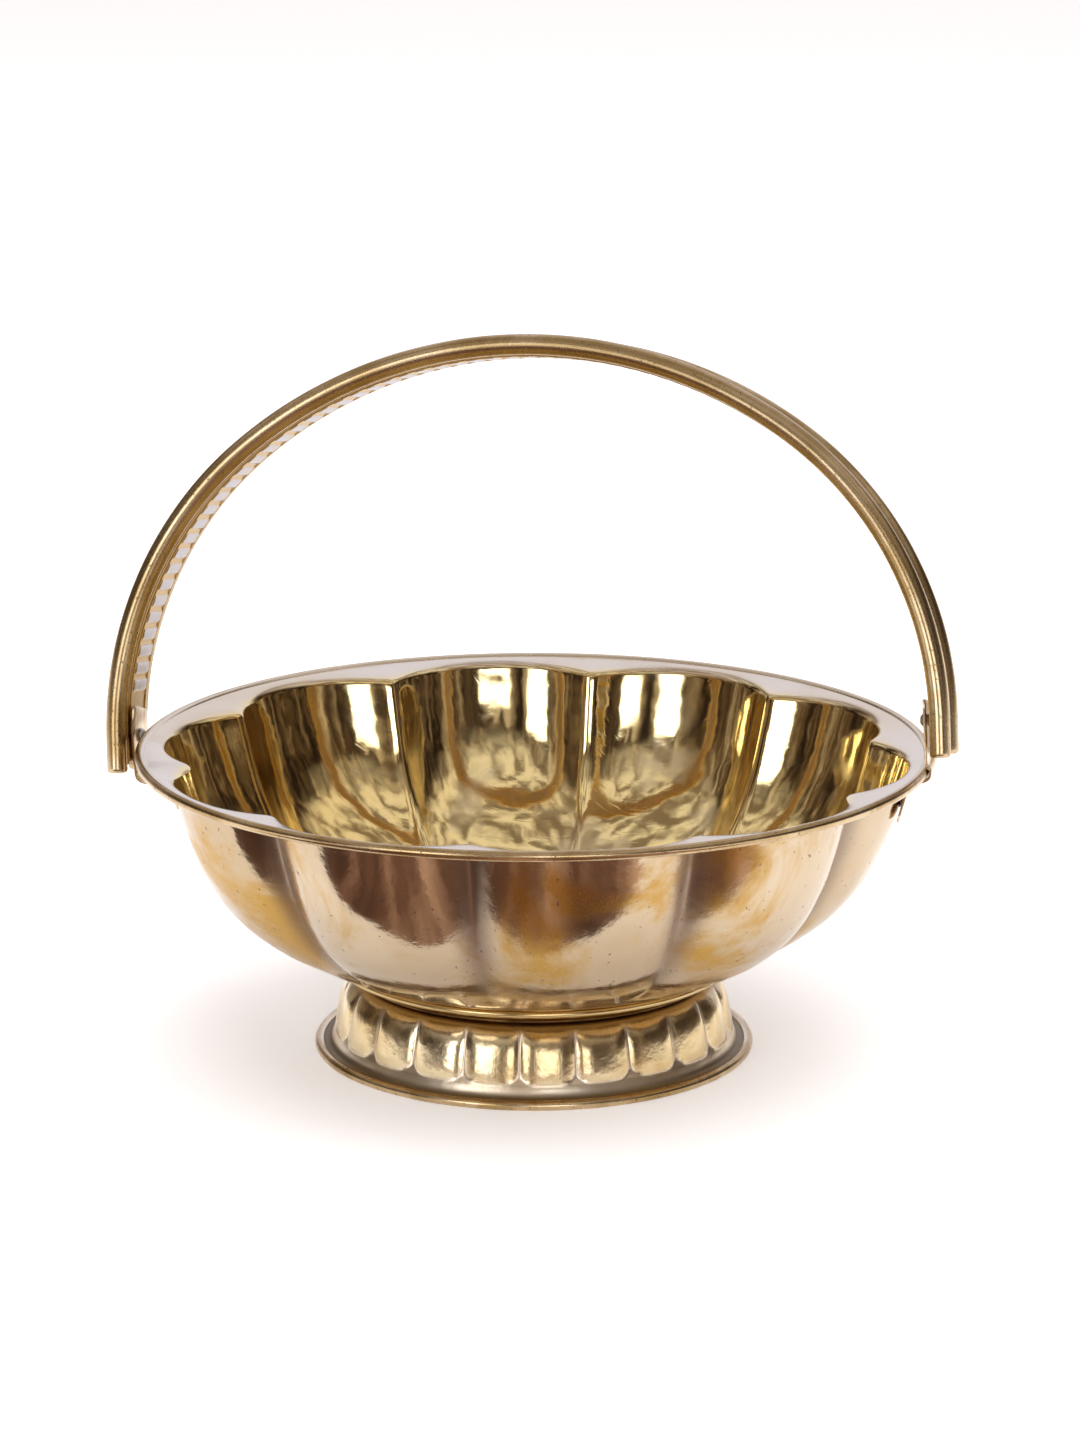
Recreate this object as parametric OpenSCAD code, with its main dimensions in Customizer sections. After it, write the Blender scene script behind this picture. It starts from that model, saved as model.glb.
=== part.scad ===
// Footed brass basket bowl with a swing bail handle, in millimetres.
// Frame: +Z up, the base rests on z = 0, the origin is the centre of the base, -Y is the front.
// The handle swings about the line through the two rivets, which run along X.

/* [Bowl] */
// outside diameter of the rim bead
rim_d = 279; // [235:0.5:335]
// height of the centre of the rim bead above the table
rim_z = 107.4; // [89:0.1:129]
// number of lobes round the bowl
lobe_n = 10; // [8:2:12]
// depth of the grooves between lobes at the lip, as a share of the radius
groove = 0.085; // [0.06:0.005:0.1]
// thickness of the bowl and foot sheet
sheet_t = 1.2; // [1:0.05:1.4]
// diameter of the rim bead
rim_bead_d = 3.6; // [3:0.1:4.2]

/* [Foot] */
// outside diameter of the base bead
foot_d = 155.6; // [130:0.1:186]
// height of the foot with its neck, up to the underside of the bowl
foot_h = 34.9; // [29:0.1:41]
// number of gadroons round the foot
gadroon_n = 22; // [18:1:26]
// turn of the line between two gadroons from the front, in degrees
gadroon_turn = 5.8; // [0:0.1:15]
// how far each gadroon bulges from the foot wall
gadroon_h = 1.6; // [1:0.1:2]
// diameter of the base bead
foot_bead_d = 3.6; // [3:0.1:4]

/* [Hinge] */
// sideways offset of the handle from the middle of the bowl
hinge_x = -1.75; // [-2.25:0.25:-1.25]
// height of the middle of the hinge line above the rim
hinge_up = 7.6; // [7:0.1:9]
// tilt of the hinge line, right side up, in degrees
hinge_tilt = 3.7; // [3.4:0.05:3.9]
// radius of the rivet shank
rivet_r = 2; // [1.6:0.05:2.4]
// radial running clearance of the handle hole on the rivet
rivet_clear = 0.05; // [0.02:0.01:0.09]
// axial gap between the handle strip and what is beside it
side_gap = 0.5; // [0.4:0.05:0.6]
// radius of the domed rivet head
head_r = 2.65; // [2.5:0.05:2.9]
// height of the domed rivet head
head_h = 2.1; // [1.8:0.05:2.15]

/* [Brackets] */
// width of each bracket along Y
bracket_w = 20; // [17:0.1:20.2]
// thickness of the bracket sheet
bracket_t = 0.9; // [0.75:0.05:1.1]
// height of the front corner of the left bracket above the hinge line
left_top = 14; // [13:0.1:15]
// height of the front corner of the right bracket above the hinge line
right_top = 10.5; // [10.5:0.1:12]
// slope of the top edge of each bracket, high side in front, in degrees
top_slope = 18; // [10:1:18]
// how much further in the right bracket stands than the left
right_in = 1; // [0.5:0.05:1.05]
// gap left for solder between a bracket tab and the bowl wall
solder_t = 0.5; // [0.4:0.05:0.7]

/* [Handle] */
// gap between the rim and the inside of the rolled edges, at the hinge line
arch_gap = 2.25; // [2:0.25:5]
// how flat the crown of the arch is: its centre lies four of these below the hinge line
arch_flat = 6; // [5:0.25:7]
// width of the handle over both rolls
strap_w = 35.5; // [35.2:0.1:40]
// diameter of each rolled edge
roll_d = 7.25; // [6:0.25:8.75]
// thickness of the ribbed strip between the rolls
strip_t = 1.2; // [1:0.05:1.4]
// length of the legs below the hinge line
leg = 12.5; // [8:0.1:13]
// lean of the handle at rest, away from the front, in degrees
lean = 11.5; // [0:0.5:20]
// spacing of the pressed pads along the strip
pad_pitch = 6.2; // [5.5:0.1:7.5]
// height of each pad above the strip
pad_h = 0.5; // [0.3:0.05:0.6]

/* [Hidden] */
$fn = 96;
brass = [0.8, 0.65, 0.35];
pale = [0.83, 0.76, 0.6];
steel = [0.7, 0.7, 0.72];

kr = rim_d / 279;
kf = foot_d / 155.6;
kfz = foot_h / 34.9;
wall_h = rim_z - foot_h;
kz = wall_h / 72.5;
rim_r = rim_d / 2;
bead_r = rim_bead_d / 2;
bead_c = rim_r - bead_r;
foot_bead_r = foot_bead_d / 2;
foot_bead_c = foot_d / 2 - foot_bead_r;

// hinge frame: u runs along the hinge line, w is up at right angles to it
hinge_z = rim_z + hinge_up;
arch_c = 3 * arch_flat;
arch_k = 4 * arch_flat;
arch_a = rim_r + arch_gap + roll_d;
arch_side_r = arch_a - arch_c;
plate_out = arch_a - roll_d - 0.55;
plate_in = plate_out - bracket_t;
strip_in = plate_out + side_gap;
strip_out = strip_in + strip_t;
roll_y = (strap_w - roll_d) / 2;

// side arcs centred at arch_c on the hinge line, crown arc centred arch_k below it: their centres make a
// 3-4-5 triangle, so the arcs are tangent on a line through exact points
crown_r = arch_side_r + 5 * arch_flat;
arch_phi = atan2(4, 3);

// world place of a point given in the hinge frame, and its two halves
function hinge_wx(u, w) = hinge_x + u * cos(hinge_tilt) - w * sin(hinge_tilt);
function hinge_wz(u, w) = hinge_z + u * sin(hinge_tilt) + w * cos(hinge_tilt);

// outer wall of the bowl at the middle of a lobe, from the rim inwards and down: radius, height, groove share
wall = [
    [bead_c - 0.6, rim_z, 0],
    [kr * 135.2, rim_z - 0.5, 0],
    [kr * 133.6, rim_z - 0.9, 0.3],
    [kr * 132.6, rim_z - 1.7, 0.8],
    [kr * 131.9, rim_z - 3.4, 1],
    [kr * 130.5, foot_h + kz * 64.5, 1],
    [kr * 128.5, foot_h + kz * 57.6, 1],
    [kr * 126.2, foot_h + kz * 50.5, 1],
    [kr * 123.4, foot_h + kz * 43.3, 0.98],
    [kr * 120, foot_h + kz * 36.5, 0.96],
    [kr * 116.4, foot_h + kz * 30.3, 0.94],
    [kr * 112, foot_h + kz * 24.5, 0.9],
    [kr * 106.7, foot_h + kz * 18.9, 0.85],
    [kr * 100.5, foot_h + kz * 13.9, 0.78],
    [kr * 94.2, foot_h + kz * 9.6, 0.68],
    [kr * 88, foot_h + kz * 6.2, 0.5],
    [kr * 83, foot_h + kz * 3.6, 0.25],
    [kr * 78.5, foot_h + kz * 1.5, 0.1],
    [kr * 75, foot_h + 0.4, 0],
    [kr * 72, foot_h, 0]];
wall_rows = len(wall);
bowl_steps = lobe_n * 12;

// unit normal to the wall line at row i, pointing to the inside of the bowl
function wall_dir(i) = [
    wall[min(i + 1, wall_rows - 1)][0] - wall[max(i - 1, 0)][0],
    wall[min(i + 1, wall_rows - 1)][1] - wall[max(i - 1, 0)][1]];
function wall_in(i) = let(d = wall_dir(i), m = norm(d))
    [wall[i][0] + d[1] / m * sheet_t, wall[i][1] - d[0] / m * sheet_t, wall[i][2]];
inner_wall = [for (i = [0 : wall_rows - 1]) i == 0 ? [wall[0][0], wall[0][1] + sheet_t, 0]
    : i == wall_rows - 1 ? [wall[i][0], foot_h + sheet_t, 0] : wall_in(i)];

// share of the groove depth at angle a: 0 in the middle of a lobe, 1 on the crease; creases at the front and back
function crease(a) = pow(abs(((a * lobe_n / 360) % 1) * 2 - 1), 2.4);
function lobe_point(p, a) = let(r = p[0] * (1 - p[2] * groove * crease(a))) [r * sin(a), -r * cos(a), p[1]];
function ring_points(p, n) = [for (j = [0 : n - 1]) lobe_point(p, (j + 0.0) * 360 / n + 180 / lobe_n)];

// foot wall from the neck down: radius, height, gadroon share
foot = [
    [kf * 61.6, kfz * 26.8, 0],
    [kf * 63, kfz * 26, 0.1],
    [kf * 64.3, kfz * 24.8, 0.4],
    [kf * 65.5, kfz * 22.8, 0.75],
    [kf * 66.7, kfz * 19.6, 0.97],
    [kf * 67.6, kfz * 16, 1],
    [kf * 68.3, kfz * 12.6, 0.97],
    [kf * 69, kfz * 9.9, 0.83],
    [kf * 69.7, kfz * 8.2, 0.55],
    [kf * 70.3, kfz * 7, 0],
    [kf * 71.3, kfz * 4.9, 0],
    [kf * 72.2, 3.1, 0],
    [kf * 73.2, 2.5, 0],
    [foot_bead_c - foot_bead_r + 0.3, 2.4, 0]];
foot_under = [
    [foot_bead_c - foot_bead_r + 0.3, 1.3, 0],
    [kf * 72.2, 1.3, 0],
    [kf * 70.2, 3.4, 0],
    [kf * 68.4, kfz * 7.5, 0],
    [kf * 66.6, kfz * 12.6, 0],
    [kf * 65, kfz * 19.6, 0],
    [kf * 63.2, kfz * 23.6, 0],
    [kf * 60.2, kfz * 25.4, 0],
    [kf * 59.4, kfz * 26.8, 0]];
foot_steps = gadroon_n * 8;
function bulge(a) = let(s = ((a * gadroon_n / 360) % 1) * 2 - 1) 1 - pow(abs(s), 3);
function foot_point(p, a) = let(r = p[0] + p[2] * gadroon_h * bulge(a), t = a + gadroon_turn)
    [r * sin(t), -r * cos(t), p[1]];
function foot_ring(p, n) = [for (j = [0 : n - 1]) foot_point(p, j * 360 / n)];

// faces between ring a and ring b of n points each
function band(a, b, n) = [for (j = [0 : n - 1]) for (f = [[a * n + j, a * n + (j + 1) % n, b * n + (j + 1) % n],
    [a * n + j, b * n + (j + 1) % n, b * n + j]]) f];

// how far the inside of the strip has come in at a distance r above the hinge line
side_in = arch_side_r - (arch_a - strip_in);
function bow(r) = side_in - sqrt(side_in * side_in - r * r);

// lines of the two brackets, down the middle of the sheet, as world x and z: each top leans in by tip, to stay
// clear of the arch at any swing
hook = bead_r + 0.05 + bracket_t / 2;
plate_mid = (plate_in + plate_out) / 2;
right_mid = plate_mid - right_in;
tab_off = solder_t + bracket_t / 2;
function wall_at(z) = lookup(z, [for (p = wall) [p[1], p[0]]]);
function tab_x(z) = wall_at(z) + tab_off;
left_z = hinge_wz(-plate_mid, -12);
function tip(w) = max(0, bow(norm([bracket_w / 2, w])) - side_gap) + 0.25;
// the corner of the left bracket swings past the first pad too
left_tip = tip(left_top) + pad_h;
right_line = [
    [hinge_wx(right_mid, right_top), hinge_wz(right_mid, right_top)],
    [hinge_wx(right_mid, 3), hinge_wz(right_mid, 3)],
    [hinge_wx(right_mid, -4), hinge_wz(right_mid, -4)],
    [hinge_wx(right_mid, 3.2 - 2 * hinge_up - bead_r), hinge_wz(right_mid, 3.2 - 2 * hinge_up - bead_r)],
    [bead_c + hook, rim_z + 1.1],
    [bead_c + hook, rim_z - 0.4],
    [bead_c + hook * cos(35), rim_z - 0.4 - hook * sin(35)],
    [bead_c + hook * cos(65), rim_z - 0.4 - hook * sin(65)],
    [bead_c, rim_z - hook - 0.6],
    [tab_x(rim_z - hook - 2) + 1.6, rim_z - hook - 2],
    [tab_x(rim_z - 6) + 0.4, rim_z - 6],
    [tab_x(rim_z - 8.2) + 0.15, rim_z - 8.2],
    [tab_x(rim_z - 14) + 0.25, rim_z - 14],
    [tab_x(rim_z - 18) + 0.5, rim_z - 18]];
left_line = [
    [-hinge_wx(left_tip - plate_mid, left_top), hinge_wz(left_tip - plate_mid, left_top)],
    [-hinge_wx(-plate_mid, 3), hinge_wz(-plate_mid, 3)],
    [-hinge_wx(-plate_mid, -4), hinge_wz(-plate_mid, -4)],
    [-hinge_wx(-plate_mid, -12), left_z],
    [-hinge_wx(-plate_mid, -12) - 0.6, left_z - 1.4],
    [-hinge_wx(-plate_mid, -12) - 1.8, left_z - 2.3],
    [-hinge_wx(-plate_mid, -12) - 3.4, left_z - 2.6],
    [tab_x(left_z - 2.8) + 3.8, left_z - 2.8],
    [tab_x(left_z - 3.4) + 1.6, left_z - 3.4],
    [tab_x(left_z - 5) + 0.7, left_z - 5],
    [tab_x(left_z - 9.5) + 0.3, left_z - 9.5],
    [tab_x(left_z - 12) + 0.7, left_z - 12]];

// a strip of sheet t thick along a line of points
function step_n(l, i) = let(d = l[min(i + 1, len(l) - 1)] - l[max(i - 1, 0)], m = norm(d)) [-d[1] / m, d[0] / m];
function side(l, h) = [for (i = [0 : len(l) - 1]) l[i] + step_n(l, i) * h];
function back(p) = [for (i = [len(p) - 1 : -1 : 0]) p[i]];
module sheet_line(l, t) {
    polygon(concat(side(l, t / 2), back(side(l, -t / 2))));
}
module along_y(w) {
    translate([0, w / 2, 0])
    rotate([90, 0, 0])
    linear_extrude(height = w)
    children();
}

// put children, drawn in the hinge frame, into the world
module hinge_frame() {
    translate([hinge_x, 0, hinge_z])
    rotate([0, -hinge_tilt, 0])
    children();
}
// turn children, drawn with Z as their axis, so that the axis lies along the hinge line
module on_hinge() {
    rotate([0, 90, 0])
    children();
}
// put children, drawn with the arch upright, at the lean they have at rest
module arch_frame() {
    hinge_frame()
    rotate([-lean, 0, 0])
    children();
}

module bowl_shell() {
    rows = wall_rows;
    n = bowl_steps;
    outer = [for (i = [0 : rows - 1]) for (p = ring_points(wall[i], n)) p];
    inner = [for (i = [0 : rows - 1]) for (p = ring_points(inner_wall[i], n)) p];
    pts = concat(outer, inner, [[0, 0, foot_h], [0, 0, foot_h + sheet_t]]);
    low = 2 * rows * n;
    outer_faces = [for (i = [0 : rows - 2]) for (f = band(i, i + 1, n)) f];
    inner_faces = [for (i = [0 : rows - 2]) for (f = band(rows + i, rows + i + 1, n)) [f[0], f[2], f[1]]];
    edge_faces = [for (f = band(0, rows, n)) [f[0], f[2], f[1]]];
    floor_low = [for (j = [0 : n - 1]) [(rows - 1) * n + j, (rows - 1) * n + (j + 1) % n, low]];
    floor_top = [for (j = [0 : n - 1]) [(2 * rows - 1) * n + (j + 1) % n, (2 * rows - 1) * n + j, low + 1]];
    color(brass)
    polyhedron(points = pts, faces = concat(outer_faces, inner_faces, edge_faces, floor_low, floor_top));
}

module rim_bead() {
    color(brass)
    translate([0, 0, rim_z])
    rotate_extrude()
    translate([bead_c, 0])
    circle(r = bead_r);
}

module neck_collar() {
    color(brass)
    rotate_extrude()
    difference() {
        union() {
            translate([kf * 57.5, kfz * 26.8])
            square([kf * 5.4, foot_h - kfz * 26.8]);
            translate([kf * 57.5, kfz * 30.4])
            square([kf * 11.4, kfz * 2.8]);
            translate([kf * 68.9, kfz * 31.8])
            circle(r = kfz * 1.4);
            translate([kf * 57.5, kfz * 33.2])
            square([kf * 13.9, foot_h - kfz * 33.2]);
        }
        translate([kf * 64.6, kfz * 28.4])
        circle(r = kfz * 2);
    }
}

module foot_shell() {
    a = len(foot);
    b = len(foot_under);
    rows = a + b;
    n = foot_steps;
    pts = concat([for (i = [0 : a - 1]) for (p = foot_ring(foot[i], n)) p],
        [for (i = [0 : b - 1]) for (p = foot_ring(foot_under[i], n)) p]);
    color(brass)
    polyhedron(points = pts, faces = [for (i = [0 : rows - 1]) for (f = band(i, (i + 1) % rows, n))
        [f[0], f[2], f[1]]]);
}

module foot_bead() {
    color(brass)
    rotate_extrude()
    intersection() {
        translate([foot_bead_c, foot_bead_r - 0.15])
        circle(r = foot_bead_r);
        translate([foot_bead_c - foot_bead_r - 1, 0])
        square([foot_bead_d + 2, foot_bead_d + 1]);
    }
}

// what the sloping top edge of a bracket cuts off, from u0 outwards, above the height w of its front corner
module top_cut(u0, w) {
    hinge_frame()
    translate([u0, -bracket_w / 2, w])
    rotate([-top_slope, 0, 0])
    translate([0, -6, 0])
    cube([10, bracket_w + 12, 12]);
}

module bracket_left() {
    color(pale)
    difference() {
        mirror([1, 0, 0])
        along_y(bracket_w)
        sheet_line(left_line, bracket_t);
        top_cut(-plate_out - 4, left_top - 0.3);
        hinge_frame()
        translate([-plate_out - 3, 0, 0])
        on_hinge()
        cylinder(r = rivet_r, h = bracket_t + 6);
    }
}

module bracket_right() {
    color(pale)
    difference() {
        along_y(bracket_w)
        sheet_line(right_line, bracket_t);
        top_cut(plate_in - right_in - 4, right_top - 0.3);
        hinge_frame()
        translate([plate_in - right_in - 3, 0, 0])
        on_hinge()
        cylinder(r = rivet_r, h = bracket_t + 6);
    }
}

// a slab of solder lying between a tab and the wall, from height z0 down to z1, with the tab out off it by e0, e1
module solder_slab(z0, e0, z1, e1) {
    along_y(bracket_w - 3)
    polygon([
        [wall_at(z0) + solder_t + e0, z0],
        [wall_at(z1) + solder_t + e1, z1],
        [wall_at(z1) - 0.15, z1],
        [wall_at(z0) - 0.15, z0]]);
}

module solder_left() {
    color(steel)
    mirror([1, 0, 0])
    solder_slab(left_z - 5.4, 0.65, left_z - 9.5, 0.3);
}

module solder_right() {
    color(steel)
    solder_slab(rim_z - 8.4, 0.15, rim_z - 13.8, 0.25);
}

// a rivet along +u: domed head on the plate's inside at head_u, shank through plate and strip, flat tail outside
module rivet(head_u) {
    cap_r = (head_r * head_r + head_h * head_h) / (2 * head_h);
    tail_u = strip_out + side_gap;
    on_hinge()
    union() {
        intersection() {
            translate([0, 0, head_u - head_h + cap_r])
            sphere(r = cap_r);
            translate([0, 0, head_u - head_h - 1])
            cylinder(r = head_r + 1, h = head_h + 1);
        }
        translate([0, 0, head_u - 0.5])
        cylinder(r = rivet_r, h = tail_u - head_u + 1);
        translate([0, 0, tail_u])
        cylinder(r = rivet_r + 1.2, h = 1.3);
    }
}

module rivet_right() {
    color(steel)
    hinge_frame()
    rivet(plate_in - right_in);
}

module rivet_left() {
    color(steel)
    hinge_frame()
    mirror([1, 0, 0])
    rivet(plate_in);
}

// a full ring about a point of the arch plane, and the part of it between two rays
module ring(u, w, r) {
    translate([u, 0, w])
    rotate([90, 0, 0])
    rotate_extrude()
    translate([r, 0])
    children();
}
module wedge(points) {
    translate([0, 60, 0])
    rotate([90, 0, 0])
    linear_extrude(height = 120)
    polygon(points);
}

// sweep a section, drawn by children about a point inset from the outside line, round the whole arch
module arch_sweep(inset) {
    intersection() {
        ring(arch_c, 0, arch_side_r - inset)
        children();
        wedge([[arch_c, 0], [arch_c + 250, 0], [arch_c + 250, 200], [arch_c + 150, 200]]);
    }
    intersection() {
        ring(0, -arch_k, crown_r - inset)
        children();
        wedge([[0, -arch_k], [180, 240 - arch_k], [-180, 240 - arch_k]]);
    }
    intersection() {
        ring(-arch_c, 0, arch_side_r - inset)
        children();
        wedge([[-arch_c, 0], [-arch_c - 150, 200], [-arch_c - 250, 200], [-arch_c - 250, 0]]);
    }
}

module handle_roll(y) {
    color(brass)
    arch_frame()
    translate([0, y, 0])
    union() {
        arch_sweep(roll_d / 2)
        circle(r = roll_d / 2);
        translate([arch_a - roll_d / 2, 0, -leg])
        cylinder(r = roll_d / 2, h = leg);
        translate([roll_d / 2 - arch_a, 0, -leg])
        cylinder(r = roll_d / 2, h = leg);
    }
}

module handle_roll_front() {
    handle_roll(-roll_y);
}

module handle_roll_back() {
    handle_roll(roll_y);
}

strip_w = 2 * (roll_y - 0.8);
strip_low = leg - 3;
strip_inset = arch_a - strip_in - strip_t / 2;
crown_in = crown_r - (arch_a - strip_in);
pad_w = strap_w - 2 * roll_d - 4;
pad_low = 15;
side_pads = floor((arch_phi * PI / 180 * side_in - pad_low) / pad_pitch);
crown_pads = floor((180 - 2 * arch_phi) * PI / 180 * crown_in / pad_pitch);

// one pad, its back sunk into the strip, standing inwards from the radius given
module pad(r) {
    translate([r - pad_h, -pad_w / 2, -pad_pitch / 3])
    cube([pad_h + 0.4, pad_w, pad_pitch * 2 / 3]);
}

module handle_strip() {
    color(brass)
    arch_frame()
    difference() {
        union() {
            arch_sweep(strip_inset, $fn = 360)
            square([strip_t, strip_w], center = true);
            translate([strip_in, -strip_w / 2, -strip_low])
            cube([strip_t, strip_w, strip_low]);
            translate([-strip_in - strip_t, -strip_w / 2, -strip_low])
            cube([strip_t, strip_w, strip_low]);
            for (i = [0 : side_pads - 1])
                translate([arch_c, 0, 0])
                rotate([0, -(pad_low + (i + 0.5) * pad_pitch) / side_in * 180 / PI, 0])
                pad(side_in);
            for (i = [0 : side_pads - 1])
                translate([-arch_c, 0, 0])
                rotate([0, -180 + (pad_low + (i + 0.5) * pad_pitch) / side_in * 180 / PI, 0])
                pad(side_in);
            for (i = [0 : crown_pads - 1])
                translate([0, 0, -arch_k])
                rotate([0, -90 + (i - (crown_pads - 1) / 2) * pad_pitch / crown_in * 180 / PI, 0])
                pad(crown_in);
        }
        for (u = [strip_in, -strip_in - strip_t])
            translate([u - 1, 0, 0])
            on_hinge()
            cylinder(r = rivet_r + rivet_clear, h = strip_t + 2);
    }
}

bowl_shell();
rim_bead();
neck_collar();
foot_shell();
foot_bead();
bracket_left();
bracket_right();
solder_left();
solder_right();
rivet_left();
rivet_right();
handle_strip();
handle_roll_front();
handle_roll_back();
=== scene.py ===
# %% [markdown]
# # A footed brass basket bowl with a swing handle
# This lesson builds the looks of a spun and lobed brass bowl around its fixed CAD frame. The real bowl is raised
# from sheet, its rim is rolled over a wire, its foot is stamped with gadroons, and a pressed strap with two rolled
# edges swings on two rivets. Every new skin below is a grid of points worked out from the maker's own sizes.

# %% Load the frame
import math

import bpy
import numpy as np
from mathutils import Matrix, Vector


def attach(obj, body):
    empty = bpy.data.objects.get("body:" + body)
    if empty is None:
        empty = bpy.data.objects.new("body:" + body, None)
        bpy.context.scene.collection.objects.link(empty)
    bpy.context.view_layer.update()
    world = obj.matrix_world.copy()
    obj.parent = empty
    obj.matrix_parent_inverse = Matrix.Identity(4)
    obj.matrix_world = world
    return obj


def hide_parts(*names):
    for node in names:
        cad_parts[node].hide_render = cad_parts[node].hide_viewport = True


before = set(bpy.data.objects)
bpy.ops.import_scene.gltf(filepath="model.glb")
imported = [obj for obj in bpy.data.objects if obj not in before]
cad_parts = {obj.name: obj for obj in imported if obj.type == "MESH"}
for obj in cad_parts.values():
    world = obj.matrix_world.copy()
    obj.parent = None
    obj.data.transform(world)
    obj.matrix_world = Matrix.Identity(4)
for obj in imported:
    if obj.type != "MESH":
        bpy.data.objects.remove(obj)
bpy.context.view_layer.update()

MM = 0.001

# %% [markdown]
# ## The maker's sizes
# These are the sizes that the CAD part was drawn with, in millimetres. The rim, the hinge line and the arch of the
# handle all follow from a few of them, so a new skin always lies where its CAD solid is.

# %% Sizes shared by the pieces, in millimetres
RIM_R, RIM_Z, BEAD_R = 139.5, 107.4, 1.8
LOBES, GROOVE, SHEET = 10, 0.085, 1.2
FOOT_R, FOOT_H, GADROONS, GADROON_RISE = 77.8, 34.9, 22, 1.6
GADROON_TURN = math.radians(5.8)
HINGE_X, HINGE_Z, TILT, LEAN = -1.75, 115.0, math.radians(3.7), math.radians(11.5)
ROLL_R, STRAP_W, LEG, ARCH_FLAT = 3.625, 35.5, 12.5, 6.0
ARCH_A = RIM_R + 2.25 + 2 * ROLL_R
PLATE_OUT = ARCH_A - 2 * ROLL_R - 0.55
BRACKET_T, BRACKET_W, SIDE_GAP, STRIP_T = 0.9, 20.0, 0.5, 1.2
LEFT_TOP, RIGHT_TOP, RIGHT_IN = 14.0, 10.5, 1.0
TOP_SLOPE = math.tan(math.radians(18))
HOLE_R = 2.05
STRIP_IN = PLATE_OUT + SIDE_GAP
ROLL_Y = STRAP_W / 2 - ROLL_R
print("arch half width", ARCH_A, "strip starts at", STRIP_IN, "rolls at y", ROLL_Y)

# %% [markdown]
# ## From a grid of points to a mesh
# A skin is a grid with rows and columns. Each square of four neighbours becomes one face. The columns close into a
# ring, and a row can end in a single centre point, so that a pole has no hole. The sign of the enclosed volume tells
# whether the faces look outwards; if it is negative, each face is turned round.


# %% Grid to mesh
def skin(name, grid, uv=None, traits=None, loop_rows=False):
    """A mesh piece from a grid of points in mm, rows x columns x 3, with columns in a ring. Face (i, j) joins points
    (i, j), (i, j+1), (i+1, j+1), (i+1, j). Unless the rows loop too, each open end is closed by a fan to its mean
    point. uv is rows x columns x 2 and grows by one whole turn at the seam; traits are rows x columns numbers."""
    rows, cols = grid.shape[:2]
    points = grid.reshape(-1, 3) * MM
    last = rows if loop_rows else rows - 1
    i, j = np.meshgrid(np.arange(last), np.arange(cols), indexing="ij")
    down, across = (i + 1) % rows, (j + 1) % cols
    quads = np.stack([i * cols + j, i * cols + across, down * cols + across, down * cols + j], -1)
    quads = quads.reshape(-1, 4)
    fans = np.zeros((0, 3), int)
    if not loop_rows:
        ends = np.array([grid[0].mean(0), grid[-1].mean(0)]) * MM
        first = np.arange(cols)
        top, low = len(points), len(points) + 1
        points = np.vstack([points, ends])
        start = np.stack([(first + 1) % cols, first, np.full(cols, top)], -1)
        end = (rows - 1) * cols
        stop = np.stack([end + first, end + (first + 1) % cols, np.full(cols, low)], -1)
        fans = np.vstack([start, stop])
    tri = np.vstack([quads[:, [0, 1, 2]], quads[:, [0, 2, 3]], fans])
    one, two, three = (points[tri[:, k]] for k in range(3))
    volume = np.einsum("ij,ij->i", one, np.cross(two, three)).sum() / 6
    turn = volume < 0
    if turn:
        quads, fans = quads[:, ::-1], fans[:, ::-1]
    mesh = bpy.data.meshes.new(name)
    corners = np.concatenate([quads.ravel(), fans.ravel()])
    starts = np.concatenate([np.arange(len(quads)) * 4, len(quads) * 4 + np.arange(len(fans)) * 3])
    mesh.vertices.add(len(points))
    mesh.vertices.foreach_set("co", points.astype(np.float32).ravel())
    mesh.loops.add(len(corners))
    mesh.loops.foreach_set("vertex_index", corners.astype(np.int32))
    mesh.polygons.add(len(starts))
    mesh.polygons.foreach_set("loop_start", starts.astype(np.int32))
    mesh.polygons.foreach_set("use_smooth", np.ones(len(starts), bool))
    mesh.update(calc_edges=True)
    if uv is not None:
        wide = np.concatenate([uv, uv[:, :1] + [1, 0]], 1)
        wide = np.concatenate([wide, wide[:1] + [0, 1]], 0) if loop_rows else wide
        q = np.stack([wide[i, j], wide[i, j + 1], wide[i + 1, j + 1], wide[i + 1, j]], 2).reshape(-1, 4, 2)
        q = q[:, ::-1] if turn else q
        f = np.zeros((len(fans), 3, 2))
        if len(fans):
            f[:cols, :, 1], f[cols:, :, 1] = uv[0, 0, 1], uv[-1, 0, 1]
        layer = mesh.uv_layers.new(name="UVMap")
        layer.data.foreach_set("uv", np.concatenate([q.ravel(), f.ravel()]).astype(np.float32))
    for trait, values in (traits or {}).items():
        flat = values.reshape(-1)
        if len(fans):
            flat = np.concatenate([flat, [values[0].mean(), values[-1].mean()]])
        mesh.attributes.new(trait, "FLOAT", "POINT").data.foreach_set("value", flat.astype(np.float32))
    mesh.validate()
    piece = bpy.data.objects.new(name, mesh)
    bpy.context.scene.collection.objects.link(piece)
    print(f"{name}: {len(mesh.polygons)} faces, {abs(volume) * 1e6:.1f} cm3")
    return piece


def finish_piece(piece, material, body, slot, *nodes):
    """Gives the piece its finish, lets it ride on its CAD body and hides the CAD nodes that it stands for."""
    piece.data.materials.clear()
    piece.data.materials.append(material)
    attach(piece, body)
    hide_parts(*nodes)
    return piece


# %% [markdown]
# ## Smooth lines through chosen points
# A draughtsman bends a thin spline through nails; the cubic spline does the same in numbers. Its curvature has no
# jumps, and polished brass shows every jump in curvature as a kink in its reflections.


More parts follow.
